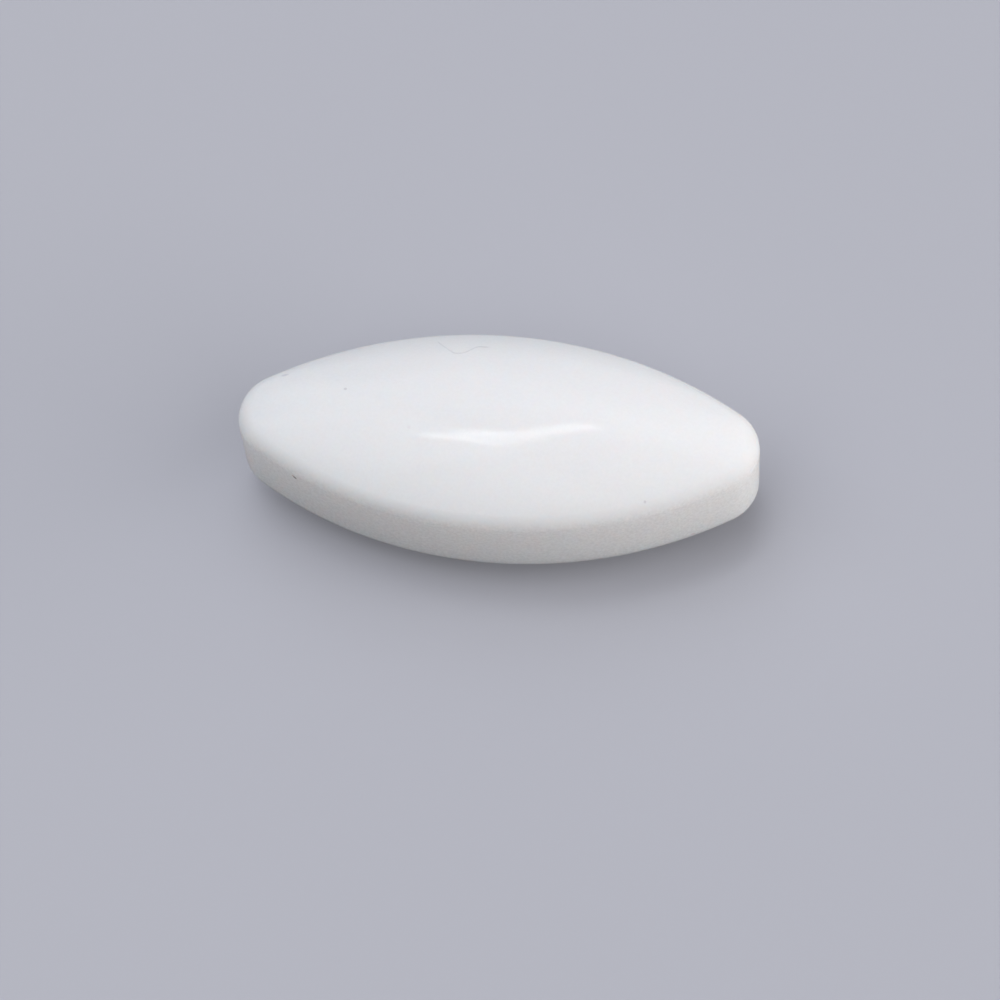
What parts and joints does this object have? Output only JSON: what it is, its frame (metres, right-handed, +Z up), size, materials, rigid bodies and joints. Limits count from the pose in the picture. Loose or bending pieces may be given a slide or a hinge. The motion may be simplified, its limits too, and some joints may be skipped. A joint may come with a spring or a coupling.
{
  "type": "magnetic stir bar",
  "caption": "Almond-shaped magnetic stir bar: a white fluoroplastic jacket with round noses, an upright band and two shallow domes, sealed round a cylindrical bar magnet.",
  "frame": {"origin": "lowest point of the lower dome, below the centre of the bar", "axes": "+X along the bar, +Z up through both domes, +Y across the bar"},
  "size_m": [0.02, 0.0086, 0.006],
  "materials": {
    "ptfe": "smooth moulded white fluoroplastic with a soft, waxy sheen",
    "magnet": "ground magnet alloy, dull grey"
  },
  "bodies": {
    "root": {"ptfe_jacket": "ptfe", "bar_magnet": "magnet"}
  },
  "joints": []
}
